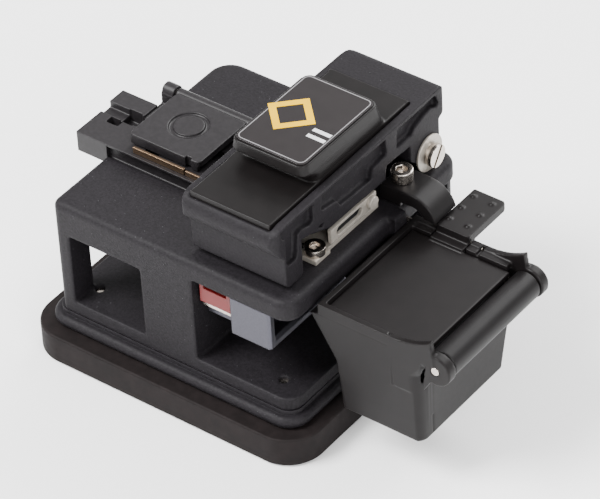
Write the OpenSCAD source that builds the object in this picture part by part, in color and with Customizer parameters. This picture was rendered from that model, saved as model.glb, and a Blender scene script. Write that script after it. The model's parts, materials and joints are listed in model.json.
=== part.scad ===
// Precision fibre cleaver: a lidded cutting arm, a sliding blade carriage and a fibre scrap collector
// on a cast body. Millimetres, +X right (collector side), +Y back, +Z up.
// The origin is the centre of the rubber mat's bottom face.

/* [Mat and base] */
// Width of the rubber mat, left to right
mat_w = 68.8; // [68:0.2:72]
// Depth of the rubber mat, front to back
mat_d = 66.0; // [64:0.2:70]
// Thickness of the rubber mat
mat_h = 6.7; // [5:0.1:8]
// Height of the base plate between the mat and the body
base_h = 3.6; // [3.4:0.1:5]

/* [Body] */
// Width of the body casting
body_w = 58.8; // [58.6:0.1:59]
// Depth of the body casting
body_d = 56.2; // [56:0.1:58]
// Height of the body casting, base joint to deck
body_h = 27.7; // [27:0.1:29]
// Thickness of the deck
deck_t = 4.5; // [4.4:0.1:5]
// Height of the front and left windows
window_h = 16.9; // [12:0.1:17.5]

/* [Arm] */
// Width of the cutting arm
arm_w = 22.8; // [22.6:0.1:23]
// Height of the arm hinge above the deck
hinge_h = 3.7; // [3.7:0.1:4]
// Distance of the arm hinge behind the body centre
hinge_y = 21.6; // [21.4:0.1:21.8]

/* [Carriage] */
// Width of the carriage front plate
carriage_w = 9.9; // [9:0.1:11]
// Diameter of the blade wheel
wheel_d = 15.4; // [15:0.1:15.6]
// Travel of the carriage from front to back
carriage_travel = 20; // [10:1:20]

/* [Collector] */
// Radius of the fibre transport roller
roller_r = 3.1; // [2.8:0.1:3.2]
// Length of the fibre transport roller
roller_len = 28.3; // [27:0.1:28.3]
// Wall thickness of the collector bin
bin_wall = 1.3; // [1.2:0.1:1.4]

/* [Hidden] */

$fn = 64;
eps = 0.01;
far = 100;          // longer than any cut needs
run_gap = 0.05;     // radial clearance of a turning fit

// Heights
z_base = mat_h;
z_body = z_base + base_h;
floor_t = 3.0;
z_floor = z_body + floor_t;
z_deck = z_body + body_h;
z_roof = z_deck - deck_t;
z_fibre = z_deck + 2.0;

// Body limits
body_x = 1.3;
x_left = body_x - body_w / 2;
x_right = body_x + body_w / 2;
x_floor_right = x_right - 0.7;
y_front = -body_d / 2;
y_back = body_d / 2;
wall_left = 3.8;
wall_front = 6.1;
wall_back = 3.5;
post_l = x_left + wall_left;
column_x0 = -6.4;
column_x1 = 6.6;
spine_t = 4.0;
left_bay_back = y_back - 8.1;
deck_radii = [1.8, 3.4, 3.4, 5.0];
deck_edge = 1.5;

// Fibre line and guide
y_fibre = -0.9;
guide_x0 = -36.1;
guide_x1 = 4.4;
guide_y0 = -10.1;
guide_y1 = 5.0;
channel_y0 = -10.8;
channel_y1 = 5.4;
z_channel = z_deck - 2.9;
z_guide = z_deck + 2.0;
guide_screw_x = [-19, 0.5];
guide_screw_y = -6.5;

// Clamp lid
lid_x0 = -24.5;
lid_x1 = -6.8;
lid_y0 = -7.3;
lid_y1 = 8.2;
lid_t = 1.5;
z_lid = z_deck + 4.8;
lid_pin_y = 9.4;
lid_pin_z = z_deck + 3.6;
lid_pin_r = 0.7;

// Slide under the deck
rail_x = 11.2;
rail_w = 5.0;
rail_h = 1.8;
rail_y0 = y_front + 2.6;
rail_y1 = y_back - wall_back - 0.2;
block_w = 7.8;
block_y0 = -25.6;
block_len = 16;
seal_t = 1.1;
z_tray = z_body + 13.7;
tray_t = 2.1;
z_tray_top = z_tray + tray_t;

// Carriage
car_x0 = 15.2;
car_x1 = car_x0 + carriage_w;
car_y0 = y_front + 0.6;
car_plate_t = 2.0;
car_back = -3.0;
tray_x0 = 7.6;
wheel_x = 16.4;
wheel_t = 1.0;
wheel_y = -11.9;
wheel_z = z_fibre - wheel_d / 2 - 0.05;
axle_r = 1.5;
axle_flange_r = 2.4;
slot_w = 2.2;

// Arm
arm_x0 = 5.0;
arm_x1 = arm_x0 + arm_w;
arm_wall = 3.8;
cavity_x0 = arm_x0 + arm_wall;
cavity_x1 = arm_x1 - arm_wall;
hinge_z = z_deck + hinge_h;
shaft_r = 1.5;
washer_r = 4.1;
arm_top_front = z_deck + 16.15;
arm_top_back = z_deck + 16.9;
arm_nose_y = -27.8;
arm_back_y = 27.7;
pocket_deep = 1.4;
z_arm_roof = z_deck + 12.3;
top_slope = (arm_top_back - arm_top_front) / (arm_back_y - arm_nose_y);

// Cover and label on the arm
cover_x0 = 6.6;
cover_x1 = 25.6;
cover_y0 = -26.2;
cover_y1 = 19.0;
cover_gap = 0.2;
cover_proud = 0.45;
cover_sink = 1.0;
pod_top = z_deck + 22.3;
label_t = 0.3;

// Clamps under the arm
left_clamp_x = 11.2;
right_clamp_x = 21.4;
clamp_w = 4.0;
clamp_len = 11;
z_holder = z_fibre + 5.0;
stem_r = 1.2;
anvil_x = 16.4;
anvil_w = 3.0;
anvil_len = 5.2;

// Collector
bin_y0 = -21.6;
bin_y1 = 10.9;
z_rim = z_deck - 2.7;
z_bin = z_body + 0.6;
rim_x0 = 32.3;
lid_top = z_rim - 1.0;
ledge_top = z_rim - 0.25;
ledge_x1 = 56.0;
bend_x = 49.6;
roller_x = 59.7;
roller_z = z_rim - 3.9;
roller_y0 = bin_y0 + 2.7;
boss_r = 3.4;
nip_r = roller_r;
nip_x = 53.7;
nip_z = roller_z - 2.2;
nip_y1 = 7.3;
nip_pin_y1 = 9.4;
bin_pin_r = 0.9;
tab_x0 = 38.3;
tab_x1 = 46.0;
tab_y1 = 22.3;
flap_pin_y = 10.3;
flap_pin_z = z_rim - 1.0;
flap_pin_r = 0.6;
lid_y_back = flap_pin_y - 2.7;

// ---------------------------------------------------------------- shared shapes

function arc(cx, cy, r, a0, a1, n = 12) =
    [for (i = [0 : n]) let (a = a0 + (a1 - a0) * i / n) [cx + r * cos(a), cy + r * sin(a)]];

function curve(p, q, s, n = 8) =
    [for (i = [0 : n]) let (t = i / n) p * (1 - t) * (1 - t) + q * 2 * t * (1 - t) + s * t * t];

function arm_top(y) = arm_top_front + (y - arm_nose_y) * top_slope;

module block(x0, x1, y0, y1, z0, z1) {
    translate([x0, y0, z0]) cube([x1 - x0, y1 - y0, z1 - z0]);
}

// Rectangle with its own radius at each corner: front left, front right, back right, back left
module corner_rect(x0, x1, y0, y1, r) {
    polygon([[x0 + r[0], y0], [x1 - r[1], y0], [x1, y0 + r[1]], [x1, y1 - r[2]],
        [x1 - r[2], y1], [x0 + r[3], y1], [x0, y1 - r[3]], [x0, y0 + r[0]]]);
    translate([x0 + r[0], y0 + r[0]]) circle(r[0]);
    translate([x1 - r[1], y0 + r[1]]) circle(r[1]);
    translate([x1 - r[2], y1 - r[2]]) circle(r[2]);
    translate([x0 + r[3], y1 - r[3]]) circle(r[3]);
}

module round_block(x0, x1, y0, y1, z0, z1, r) {
    translate([0, 0, z0]) linear_extrude(z1 - z0) corner_rect(x0, x1, y0, y1, [r, r, r, r]);
}

// Slab with its own radius at each plan corner and a rounded top edge of radius e
module soft_slab(x0, x1, y0, y1, z0, z1, r, e) {
    centres = [[x0 + r[0], y0 + r[0]], [x1 - r[1], y0 + r[1]], [x1 - r[2], y1 - r[2]],
        [x0 + r[3], y1 - r[3]]];
    hull() for (i = [0 : 3]) translate([centres[i][0], centres[i][1], 0]) {
        translate([0, 0, z0]) cylinder(r = r[i], h = z1 - e - z0, $fn = 32);
        translate([0, 0, z1 - e]) rotate_extrude($fn = 32) ring_section(r[i] - e, e);
    }
}

// Plate whose whole edge is a half-round of radius e
module bullnose_plate(x0, x1, y0, y1, z0, r, e) {
    hull() for (x = [x0 + r, x1 - r]) for (y = [y0 + r, y1 - r])
        translate([x, y, z0 + e]) rotate_extrude($fn = 40) ring_section(r - e, e);
}

// Half of a circle's section, clipped at the turning axis
module ring_section(offset_r, e) {
    intersection() {
        translate([offset_r, 0]) circle(e, $fn = 32);
        translate([0, -e]) square([offset_r + e, 2 * e]);
    }
}

module rod_x(r, x0, x1, y, z) {
    translate([x0, y, z]) rotate([0, 90, 0]) cylinder(r = r, h = x1 - x0);
}

module rod_y(r, y0, y1, x, z) {
    translate([x, y1, z]) rotate([90, 0, 0]) cylinder(r = r, h = y1 - y0);
}

module rod_z(r, z0, z1, x, y) {
    translate([x, y, z0]) cylinder(r = r, h = z1 - z0);
}

// Extrude a (y, z) outline from x0 to x1
module side_extrude(x0, x1) {
    translate([x0, 0, 0]) rotate([90, 0, 90]) linear_extrude(x1 - x0) children();
}

// Extrude an (x, z) outline from y0 to y1
module front_extrude(y0, y1) {
    translate([0, y1, 0]) rotate([90, 0, 0]) linear_extrude(y1 - y0) children();
}

// Socket-head screw pointing down, its head resting at height z
module cap_screw(x, y, z, shank, r, head_r, head_h) {
    difference() {
        union() {
            rod_z(head_r, z, z + head_h, x, y);
            rod_z(r, z - shank, z + eps, x, y);
        }
        translate([x, y, z + head_h * 0.45]) cylinder(r = head_r * 0.55, h = head_h, $fn = 6);
    }
}

// Helical wire spring standing on z = 0, swept as one closed tube
module wire_spring(r, wire_r, h, turns) {
    steps = 14;
    sides = 6;
    n = turns * steps;
    pts = [for (i = [0 : n]) for (j = [0 : sides - 1])
        let (a = 360 * i / steps, b = 360 * j / sides, q = r + wire_r * cos(b))
        [q * cos(a), q * sin(a), wire_r + (h - 2 * wire_r) * i / n + wire_r * sin(b)]];
    walls = [for (i = [0 : n - 1]) for (j = [0 : sides - 1])
        let (k = i * sides, m = (j + 1) % sides) [k + j, k + sides + j, k + sides + m, k + m]];
    polyhedron(pts, concat([[for (j = [0 : sides - 1]) j]], walls,
        [[for (j = [sides - 1 : -1 : 0]) n * sides + j]]));
}

// ---------------------------------------------------------------- mat, base and body

base_screw_at = [[24.3, -23.2], [-22.9, -21.9], [24.3, 21.5], [-22.9, 21.5]];
base_screw_r = 1.0;
base_head_r = 1.9;

mat_corner = 8;

module rubber_mat() {
    color("#36302d") round_block(-mat_w / 2, mat_w / 2, -mat_d / 2, mat_d / 2, 0, z_base, mat_corner);
}

lip_r = 1.3;
lip_x0 = x_left - 3.2;
lip_x1 = x_right + 1.05;
lip_y0 = y_front - 1.8;
lip_y1 = y_back + 1.8;
lip_corner = 5;

module base_plate() {
    cove = 1.7;
    color("#2e2c30") difference() {
        union() {
            bullnose_plate(lip_x0, lip_x1, lip_y0, lip_y1, z_base, lip_corner, lip_r);
            round_block(lip_x0 + cove, lip_x1 - cove, lip_y0 + cove, lip_y1 - cove,
                z_base + lip_r, z_body, lip_corner - cove);
        }
        for (p = base_screw_at) {
            rod_z(base_screw_r, z_base - 1, z_body + 1, p[0], p[1]);
            rod_z(base_head_r, z_base - 1, z_base + 1.5, p[0], p[1]);
        }
    }
}

module base_screws() {
    color("silver") for (p = base_screw_at) difference() {
        union() {
            rod_z(base_head_r - 0.1, z_base, z_base + 1.5, p[0], p[1]);
            rod_z(base_screw_r, z_base + 1.4, z_floor - 0.8, p[0], p[1]);
        }
        translate([p[0], p[1], z_base - 0.2]) cylinder(r = 0.9, h = 1, $fn = 6);
    }
}

module deck_slab() {
    soft_slab(x_left, x_right, y_front, y_back, z_roof, z_deck, deck_radii, deck_edge);
    boss_y0 = 4.5;
    boss_y1 = 8.2;
    block(x_right - 4, x_right + 1.4, boss_y0, boss_y1, z_roof, z_deck);
}

module body_casting() {
    color("#343238") difference() {
        union() {
            translate([0, 0, z_body]) linear_extrude(z_roof - z_body + eps)
                corner_rect(x_left, x_floor_right, y_front, y_back, deck_radii);
            deck_slab();
        }
        // left bay with its front and side windows
        block(post_l, column_x1 - spine_t, y_front + wall_front, y_back - wall_back, z_floor, z_roof);
        block(post_l, column_x0, y_front - 1, y_front + wall_front + 1, z_floor, z_floor + window_h);
        block(x_left - 1, post_l + 1, y_front + wall_front, left_bay_back, z_floor, z_floor + window_h);
        // carriage bay, open in front and on the right
        block(column_x1, x_right + 3, y_front - 1, y_back - wall_back, z_floor, z_roof);
        // channel for the fibre guide
        block(x_left - 1, guide_x1 + 0.4, channel_y0, channel_y1, z_channel, z_deck + 1);
        // slot for the blade wheel
        block(wheel_x - slot_w / 2, wheel_x + slot_w / 2, wheel_y - wheel_d / 2 - 1,
            wheel_y + carriage_travel + wheel_d / 2 + 1, z_roof - 1, z_deck + 1);
        // reliefs under the deck for the blade axle and beside the arm for the hinge washer
        block(wheel_x + 0.4, wheel_x + 5, wheel_y - 3, wheel_y + carriage_travel + 3,
            z_roof - 1, wheel_z + axle_flange_r + 0.3);
        rod_x(washer_r + 0.3, arm_x1 - 0.2, arm_x1 + 0.9, hinge_y, hinge_z);
        for (p = base_screw_at)
            rod_z(base_screw_r, z_body - 1, z_floor + 1, p[0], p[1]);
        for (x = guide_screw_x)
            rod_z(0.9, z_channel - 1.2, z_deck, x, guide_screw_y);
        for (y = rail_screw_y)
            rod_z(1.0, z_roof - 1, z_roof + 2.5, rail_x, y);
        for (p = hinge_block_screw_at)
            rod_z(1.0, z_roof + 0.8, z_deck + 1, p[0], p[1]);
        for (p = clamp_screw_at)
            rod_z(1.0, z_roof + 1, z_deck + 1, p[0], p[1]);
        rod_z(bracket_screw_r, z_roof + 0.5, z_deck + 1, bracket_screw_at[0], bracket_screw_at[1]);
        rod_x(collector_pin_r, x_right - 3, x_right + 3, collector_pin_y, collector_pin_z);
    }
}

// ---------------------------------------------------------------- fibre guide and clamp lid

module fibre_guide() {
    ridge = 0.7;
    groove_y0 = -2.1;
    groove_y1 = 0.7;
    ear_r = 1.6;
    color("#2c2b2f") difference() {
        union() {
            block(guide_x0, guide_x1, guide_y0, guide_y1, z_channel, z_guide);
            block(guide_x0, lid_x0 - 2.6, groove_y1, guide_y1, z_guide - eps, z_guide + ridge);
            // wing behind the rail, carrying the two lid hinge ears
            block(lid_x0 - 3.8, lid_x1 + 3.9, guide_y1 - eps, lid_pin_y + 1.8, z_deck, z_deck + 1.2);
            for (x = [lid_x0 - 3.8, lid_x1 + 0.9]) {
                rod_x(ear_r, x, x + 3.0, lid_pin_y, lid_pin_z);
                block(x, x + 3.0, lid_pin_y - 1.8, lid_pin_y + 1.8, z_deck + 1, lid_pin_z);
            }
        }
        block(guide_x0 - 1, guide_x1 + 1, groove_y0, groove_y1, z_guide - 0.8, z_guide + 2);
        // undercut below the front edge
        block(x_left - 0.2, guide_x1 + 1, guide_y0 - 1, guide_y0 + 1.1, z_channel + 1.2, z_guide - 0.5);
        block(guide_x0 + 3.0, guide_x0 + 6.0, groove_y0 - 2.1, groove_y0 - 0.3, z_guide - 2, z_guide + 2);
        block(guide_x0 + 5.2, guide_x0 + 8.4, groove_y0 - 0.4, groove_y1 + 0.3, z_guide - 2.4, z_guide + 2);
        rod_x(lid_pin_r, lid_x0 - 5, lid_x1 + 5, lid_pin_y, lid_pin_z);
        for (x = guide_screw_x) {
            rod_z(0.9, z_channel - 1, z_guide + 1, x, guide_screw_y);
            rod_z(1.7, z_guide - 1.3, z_guide + 1, x, guide_screw_y);
        }
    }
}

module fibre_guide_screws() {
    color("silver") for (x = guide_screw_x)
        cap_screw(x, guide_screw_y, z_guide - 1.3, 3.4, 0.9, 1.6, 1.1);
}

// Spring-steel strip along the guide's front edge that the lid closes on
module fibre_stop_strip() {
    color("#b49a78") {
        block(lid_x0 + 2.4, lid_x1 - 2.4, -9.3, -8.7, z_guide, z_guide + 1.5);
        block(lid_x1 - 2.2, guide_x1 - 0.6, -9.3, -8.8, z_guide, z_guide + 1.25);
    }
}

module lid_hinge_pin() {
    color("silver") rod_x(lid_pin_r, lid_x0 - 3.9, lid_x1 + 4.0, lid_pin_y, lid_pin_z);
}

module clamp_lid() {
    dimple = [-15.9, 1.2];
    skirt = 1.0;
    barrel_r = 1.3;
    color("#333136") difference() {
        union() {
            round_block(lid_x0, lid_x1, lid_y0, lid_y1, z_lid - lid_t, z_lid, 1.0);
            block(lid_x0 + 0.3, lid_x1 - 0.3, lid_y1 - 1.2, lid_pin_y, lid_pin_z - 0.2, z_lid - 0.3);
            rod_x(barrel_r, lid_x0 - 0.5, lid_x1 + 0.6, lid_pin_y, lid_pin_z);
            // skirts along the front and the left edge
            block(lid_x0 + 0.2, lid_x0 + 0.2 + skirt, lid_y0 + 0.4, lid_y1, z_lid - 2.4, z_lid - 1);
            block(lid_x0 + 0.2, lid_x1 - 0.6, lid_y0 + 0.05, lid_y0 + skirt, z_lid - 2.4, z_lid - 1);
        }
        rod_x(lid_pin_r + run_gap, lid_x0 - 5, lid_x1 + 5, lid_pin_y, lid_pin_z);
        // shallow ring around the finger dimple, and the notch by the front right corner
        translate([dimple[0], dimple[1], z_lid - 0.5]) difference() {
            cylinder(r = 4.2, h = 1);
            translate([0, 0, -1]) cylinder(r = 3.2, h = 3);
        }
        block(lid_x1 - 3.6, lid_x1 - 2.2, lid_y0 - 1, lid_y0 + 0.7, z_lid - 3, z_lid + 1);
    }
}

module clamp_lid_pad() {
    color("#1d1d1f") block(lid_x0 + 2.6, lid_x1 - 1.4, -3.4, 2.2, z_guide + 0.25, z_lid - lid_t);
}

module clamp_lid_magnet() {
    color("silver") rod_z(1.6, z_guide + 0.3, z_lid - lid_t, lid_x1 - 4.0, 5.2);
}

// ---------------------------------------------------------------- slide and carriage

rail_screw_y = [-21, 0, 21];

module slide_rail() {
    color("silver") difference() {
        block(rail_x - rail_w / 2, rail_x + rail_w / 2, rail_y0, rail_y1, z_roof - rail_h, z_roof);
        for (side = [-1, 1])
            rod_y(0.4, rail_y0 - 1, rail_y1 + 1, rail_x + side * rail_w / 2, z_roof - rail_h / 2);
        for (y = rail_screw_y) {
            rod_z(1.0, z_roof - rail_h - 1, z_roof + 1, rail_x, y);
            rod_z(1.7, z_roof - rail_h - 1, z_roof - rail_h + 1.2, rail_x, y);
        }
    }
}

module slide_rail_screws() {
    color("silver") for (y = rail_screw_y) {
        rod_z(1.0, z_roof - rail_h + 0.2, z_roof + 2.2, rail_x, y);
        rod_z(1.6, z_roof - rail_h + 0.1, z_roof - rail_h + 1.2, rail_x, y);
    }
}

// Section of the slide block: a saddle below and beside the rail
module saddle(w, low, high, slack) {
    difference() {
        translate([rail_x - w / 2, low]) square([w, high - low]);
        translate([rail_x - rail_w / 2 - slack, z_roof - rail_h - slack])
            square([rail_w + 2 * slack, rail_h + 2 * slack + 1]);
    }
}

module slide_block() {
    color("silver") difference() {
        front_extrude(block_y0, block_y0 + block_len) saddle(block_w, z_tray_top, z_roof - 0.5, 0.3);
        for (y = carriage_screw_y)
            rod_z(0.8, z_tray, z_tray_top + 2.5, rail_x, y);
    }
}

module slide_end_seals() {
    for (y = [block_y0 - seal_t, block_y0 + block_len])
        color("#c01010") front_extrude(y, y + seal_t)
            saddle(block_w - 0.3, z_tray_top + 1.9, z_roof - 0.7, 0.3);
}

carriage_screw_y = [-22, -13];

module carriage() {
    chamfer = 0.6;
    color("#c9cbd0") difference() {
        union() {
            // front push plate with rounded ends
            translate([0, 0, z_tray]) linear_extrude(z_roof - 0.4 - z_tray)
                corner_rect(car_x0, car_x1, car_y0, car_y0 + car_plate_t, [0.7, 0.7, 0.7, 0.7]);
            block(car_x0, car_x1 - chamfer, car_y0 + 1, car_back, z_tray, z_tray_top);
            front_extrude(car_y0 + 1, car_back) polygon([[car_x1 - chamfer - eps, z_tray],
                [car_x1, z_tray], [car_x1, z_tray_top - chamfer], [car_x1 - chamfer - eps, z_tray_top]]);
            block(tray_x0, car_x0 + 1, block_y0 + 1, car_back, z_tray, z_tray_top);
        }
        block(wheel_x - 0.9, wheel_x + 0.9, wheel_y - 6, wheel_y + 6, z_tray - 1, z_tray_top + 1);
        for (y = carriage_screw_y) {
            rod_z(0.8, z_tray - 1, z_tray_top + 1, rail_x, y);
            rod_z(1.5, z_tray - 1, z_tray + 0.9, rail_x, y);
        }
        for (y = holder_screw_y)
            rod_z(0.8, z_tray - 1, z_tray_top + 1, holder_x, y);
    }
}

holder_x = 20.6;
holder_screw_y = [-20.5, -5.5];

module carriage_screws() {
    color("#55555a") {
        for (y = carriage_screw_y) {
            rod_z(0.8, z_tray + 0.8, z_tray_top + 2.2, rail_x, y);
            rod_z(1.4, z_tray + 0.05, z_tray + 0.9, rail_x, y);
        }
        for (y = holder_screw_y)
            cap_screw(holder_x, y, z_tray_top + 1.8, 3.2, 0.8, 1.4, 1.4);
    }
}

module blade_holder() {
    wall_x0 = 18.2;
    wall_t = 2.4;
    color("#8f9298") difference() {
        union() {
            block(wall_x0, wall_x0 + wall_t, -17, -7, z_tray_top, z_roof - 0.6);
            for (y = holder_screw_y)
                block(wall_x0, holder_x + 1.8, y - 1.8, y + 1.8, z_tray_top, z_tray_top + 1.8);
            block(wall_x0, wall_x0 + wall_t, -22.3, -3.7, z_tray_top, z_tray_top + 1.8);
        }
        rod_x(axle_r, wall_x0 - 1, wall_x0 + wall_t + 1, wheel_y, wheel_z);
        for (y = holder_screw_y)
            rod_z(0.8, z_tray_top - 1, z_tray_top + 3, holder_x, y);
        rod_y(0.8, -18, -15, wall_x0 + wall_t / 2, z_tray_top + 4.2);
    }
}

module blade_axle() {
    color("silver") {
        rod_x(axle_r, wheel_x - 0.85, wheel_x + 4.6, wheel_y, wheel_z);
        rod_x(axle_flange_r, wheel_x + 0.62, wheel_x + 1.75, wheel_y, wheel_z);
    }
}

module blade_wheel() {
    edge = 0.35;
    r = wheel_d / 2;
    color("#b9bdc4") translate([wheel_x - wheel_t / 2, wheel_y, wheel_z]) rotate([0, 90, 0]) difference() {
        union() {
            cylinder(r1 = r - 1.2, r2 = r, h = edge);
            translate([0, 0, edge]) cylinder(r = r, h = wheel_t - 2 * edge);
            translate([0, 0, wheel_t - edge]) cylinder(r1 = r, r2 = r - 1.2, h = edge);
        }
        translate([0, 0, -1]) cylinder(r = axle_r + run_gap, h = wheel_t + 2);
    }
}

// Set screw in the holder's front edge that sets the blade height
module blade_height_screw() {
    color("#55555a") rod_y(0.8, -17.6, -15.2, 19.4, z_tray_top + 4.2);
}

// ---------------------------------------------------------------- hinge of the arm

hinge_block_x0 = 13.0;
hinge_block_x1 = cavity_x1 - 0.5;
hinge_block_screw_at = [[15.2, hinge_y - 5.2], [21.2, hinge_y - 5.2]];

module hinge_block() {
    r = 3.2;
    foot = 1.6;
    color("#8f9298") difference() {
        union() {
            rod_x(r, hinge_block_x0, hinge_block_x1, hinge_y, hinge_z);
            block(hinge_block_x0, hinge_block_x1, hinge_y - r, hinge_y + r, z_deck, hinge_z);
            block(hinge_block_x0, hinge_block_x1, hinge_y - 7.2, hinge_y, z_deck, z_deck + foot);
        }
        rod_x(shaft_r, hinge_block_x0 - 1, hinge_block_x1 + 1, hinge_y, hinge_z);
        for (p = hinge_block_screw_at)
            rod_z(1.0, z_deck - 1, z_deck + 3, p[0], p[1]);
    }
}

module hinge_block_screws() {
    color("#55555a") for (p = hinge_block_screw_at)
        cap_screw(p[0], p[1], z_deck + 1.6, 4.6, 1.0, 1.7, 1.4);
}

// Slotted shoulder screw that the arm turns on
module hinge_screw() {
    head_x = arm_x1 + 1.1;
    color("silver") difference() {
        union() {
            rod_x(shaft_r, arm_x0 - 1.0, head_x + 0.1, hinge_y, hinge_z);
            rod_x(2.0, arm_x1 + 0.55, head_x + 0.1, hinge_y, hinge_z);
            rod_x(2.45, head_x, head_x + 1.3, hinge_y, hinge_z);
        }
        translate([head_x + 1.0, hinge_y, hinge_z]) rotate([-35, 0, 0])
            cube([1.2, 0.7, 8], center = true);
    }
}

module hinge_washer() {
    color("#d7d8dc") difference() {
        rod_x(washer_r, arm_x1 + 0.05, arm_x1 + 0.55, hinge_y, hinge_z);
        rod_x(shaft_r, arm_x1 - 1, arm_x1 + 2, hinge_y, hinge_z);
    }
}

module hinge_clip() {
    color("#55555a") difference() {
        rod_x(2.6, arm_x0 - 0.8, arm_x0 - 0.2, hinge_y, hinge_z);
        rod_x(shaft_r, arm_x0 - 2, arm_x0 + 1, hinge_y, hinge_z);
    }
}

module torsion_spring() {
    wire_r = 0.35;
    turns = 4;
    color("#7d7f85") translate([cavity_x0 + 0.4, hinge_y, hinge_z]) rotate([0, 90, 0])
        wire_spring(2.4, wire_r, 3.4, turns);
}

// ---------------------------------------------------------------- arm

module arm_outline() {
    skirt_y = -24.9;
    polygon(concat(
        [[skirt_y, z_deck + 1.7]],
        curve([skirt_y, z_deck + 8.5], [-27.2, z_deck + 10.3], [arm_nose_y, z_deck + 12.6]),
        curve([arm_nose_y, z_deck + 12.6], [arm_nose_y, arm_top_front], [-23.6, arm_top(-23.6)]),
        arc(arm_back_y - 1.8, arm_top_back - 1.8, 1.8, 90, 0, 6),
        [[arm_back_y, z_deck + 10.6], [27.1, z_deck + 10.2], [25.7, z_deck + 9.6], [25.7, hinge_z + 0.9]],
        arc(hinge_y, hinge_z, 3.4, -12, -165, 14),
        [[15.9, hinge_z + 1.2], [15.8, z_deck + 8.9], [8.1, z_deck + 9.2], [7.6, z_deck + 6.1],
        [-10.7, z_deck + 6.5], [-16.9, z_deck + 9.0], [-19.4, z_deck + 9.6], [-19.4, z_deck + 1.6],
        [-20.2, z_deck + 0.9], [-24.1, z_deck + 0.9]]));
}

// Openings sunk into the arm's right face
module arm_pockets() {
    polygon([[-25.6, z_deck + 15.4], [-25.2, z_deck + 13.5], [-24.3, z_deck + 13.1],
        [-24.3, z_deck + 7.0], [-23.6, z_deck + 6.0], [-21.3, z_deck + 6.1], [-20.7, z_deck + 8.0],
        [-20.5, z_deck + 11.6], [-19.2, z_deck + 11.9], [-16.7, z_deck + 11.2],
        [-15.4, z_deck + 11.7], [-15.5, z_deck + 15.4]]);
    polygon([[-15.0, z_deck + 9.3], [-12.5, z_deck + 9.0], [-12.4, z_deck + 7.9]]);
    polygon([[-12.9, z_deck + 12.2], [-12.6, z_deck + 15.5], [7.8, z_deck + 15.7], [8.2, z_deck + 11.8],
        [3.6, z_deck + 11.2], [3.2, z_deck + 9.0], [-6.9, z_deck + 9.5], [-8.0, z_deck + 11.4]]);
    polygon([[11.5, z_deck + 11.1], [11.8, z_deck + 15.6], [24.6, z_deck + 15.8], [25.5, z_deck + 13.4],
        [24.8, z_deck + 12.8], [23.0, z_deck + 13.6], [20.9, z_deck + 13.4], [17.6, z_deck + 12.4],
        [16.4, z_deck + 11.2]]);
}

module arm() {
    color("#343238") difference() {
        intersection() {
            side_extrude(arm_x0, arm_x1) arm_outline();
            translate([0, 0, z_deck]) linear_extrude(far)
                corner_rect(arm_x0, arm_x1, arm_nose_y - eps, arm_back_y + eps,
                    [1.4, 2.2, 1.2, 3.0]);
        }
        // hollow between the side walls for the clamps, the anvil and the hinge block
        block(cavity_x0, cavity_x1, -18.6, 25.2, z_deck - 1, z_arm_roof);
        side_extrude(cavity_x0, cavity_x1) polygon([[17, z_deck - 1], [28.5, z_deck - 1],
            [28.5, z_deck + 9.6], [25, z_deck + 9.6], [17, z_deck + 9.6]]);
        // seat for the cover
        side_extrude(cover_x0 - cover_gap, cover_x1 + cover_gap) polygon([
            [cover_y0 - cover_gap, arm_top(cover_y0) - cover_sink],
            [cover_y1 + cover_gap, arm_top(cover_y1) - cover_sink],
            [cover_y1 + cover_gap, z_deck + 20], [cover_y0 - cover_gap, z_deck + 20]]);
        side_extrude(arm_x1 - pocket_deep, arm_x1 + 1) arm_pockets();
        rod_x(shaft_r + run_gap, arm_x0 - 1, arm_x1 + 1, hinge_y, hinge_z);
    }
}

// Moulded cover: a thin inlay plate with a raised pod for the label
module arm_cover() {
    foot_y0 = -11.6;
    foot_y1 = 11.9;
    head_y0 = -14.6;
    head_y1 = 10.0;
    shoulder = pod_top - 2.2;
    color("#2a2a2c") {
        side_extrude(cover_x0, cover_x1) polygon([
            [cover_y0, arm_top(cover_y0) - cover_sink], [cover_y1, arm_top(cover_y1) - cover_sink],
            [cover_y1, arm_top(cover_y1) + cover_proud], [cover_y0, arm_top(cover_y0) + cover_proud]]);
        hull() {
            round_slice(cover_x0 + 0.2, cover_x1 - 0.1, foot_y0, foot_y1, arm_top(0) - 0.2);
            round_slice(7.4, 25.5, foot_y0 - 0.4, foot_y1 - 0.8, shoulder - 1.6);
        }
        hull() {
            round_slice(7.4, 25.5, foot_y0 - 0.4, foot_y1 - 0.8, shoulder - 1.6);
            round_slice(7.4, 25.4, head_y0 - 0.2, head_y1 + 0.5, shoulder);
            round_slice(7.7, 25.1, head_y0, head_y1 + 0.1, pod_top);
        }
    }
}

module round_slice(x0, x1, y0, y1, z) {
    slice_r = 1.9;
    translate([0, 0, z - 0.1]) linear_extrude(0.1)
        corner_rect(x0, x1, y0, y1, [slice_r, slice_r, slice_r, slice_r], $fn = 32);
}

module label_plate() {
    color("#3a3a3c") round_block(8.1, 24.7, -14.1, 9.6, pod_top, pod_top + label_t, 1.6);
}

// Plain open diamond and two bars on the label
module label_mark() {
    mark = [13.3, -2.4];
    arm_len = 5.8;
    stroke = 2.1;
    mark_t = 0.1;
    color("#ffe000") translate([mark[0], mark[1], pod_top + label_t]) linear_extrude(mark_t)
        difference() {
            rotate(45) square(arm_len * sqrt(2), center = true);
            rotate(45) square((arm_len - stroke) * sqrt(2), center = true);
        }
    color("white") for (y = [-6.4, -4.4])
        block(19.7, 23.9, y, y + 0.9, pod_top + label_t, pod_top + label_t + mark_t);
}

// Steel keeper behind the arm's front skirt
module latch_plate() {
    color("silver") block(cavity_x1 + 0.2, arm_x1 - 0.6, -19.4, -18.7, z_deck + 4.8, z_deck + 8.2);
}

// ---------------------------------------------------------------- clamps and anvil in the arm

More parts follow.
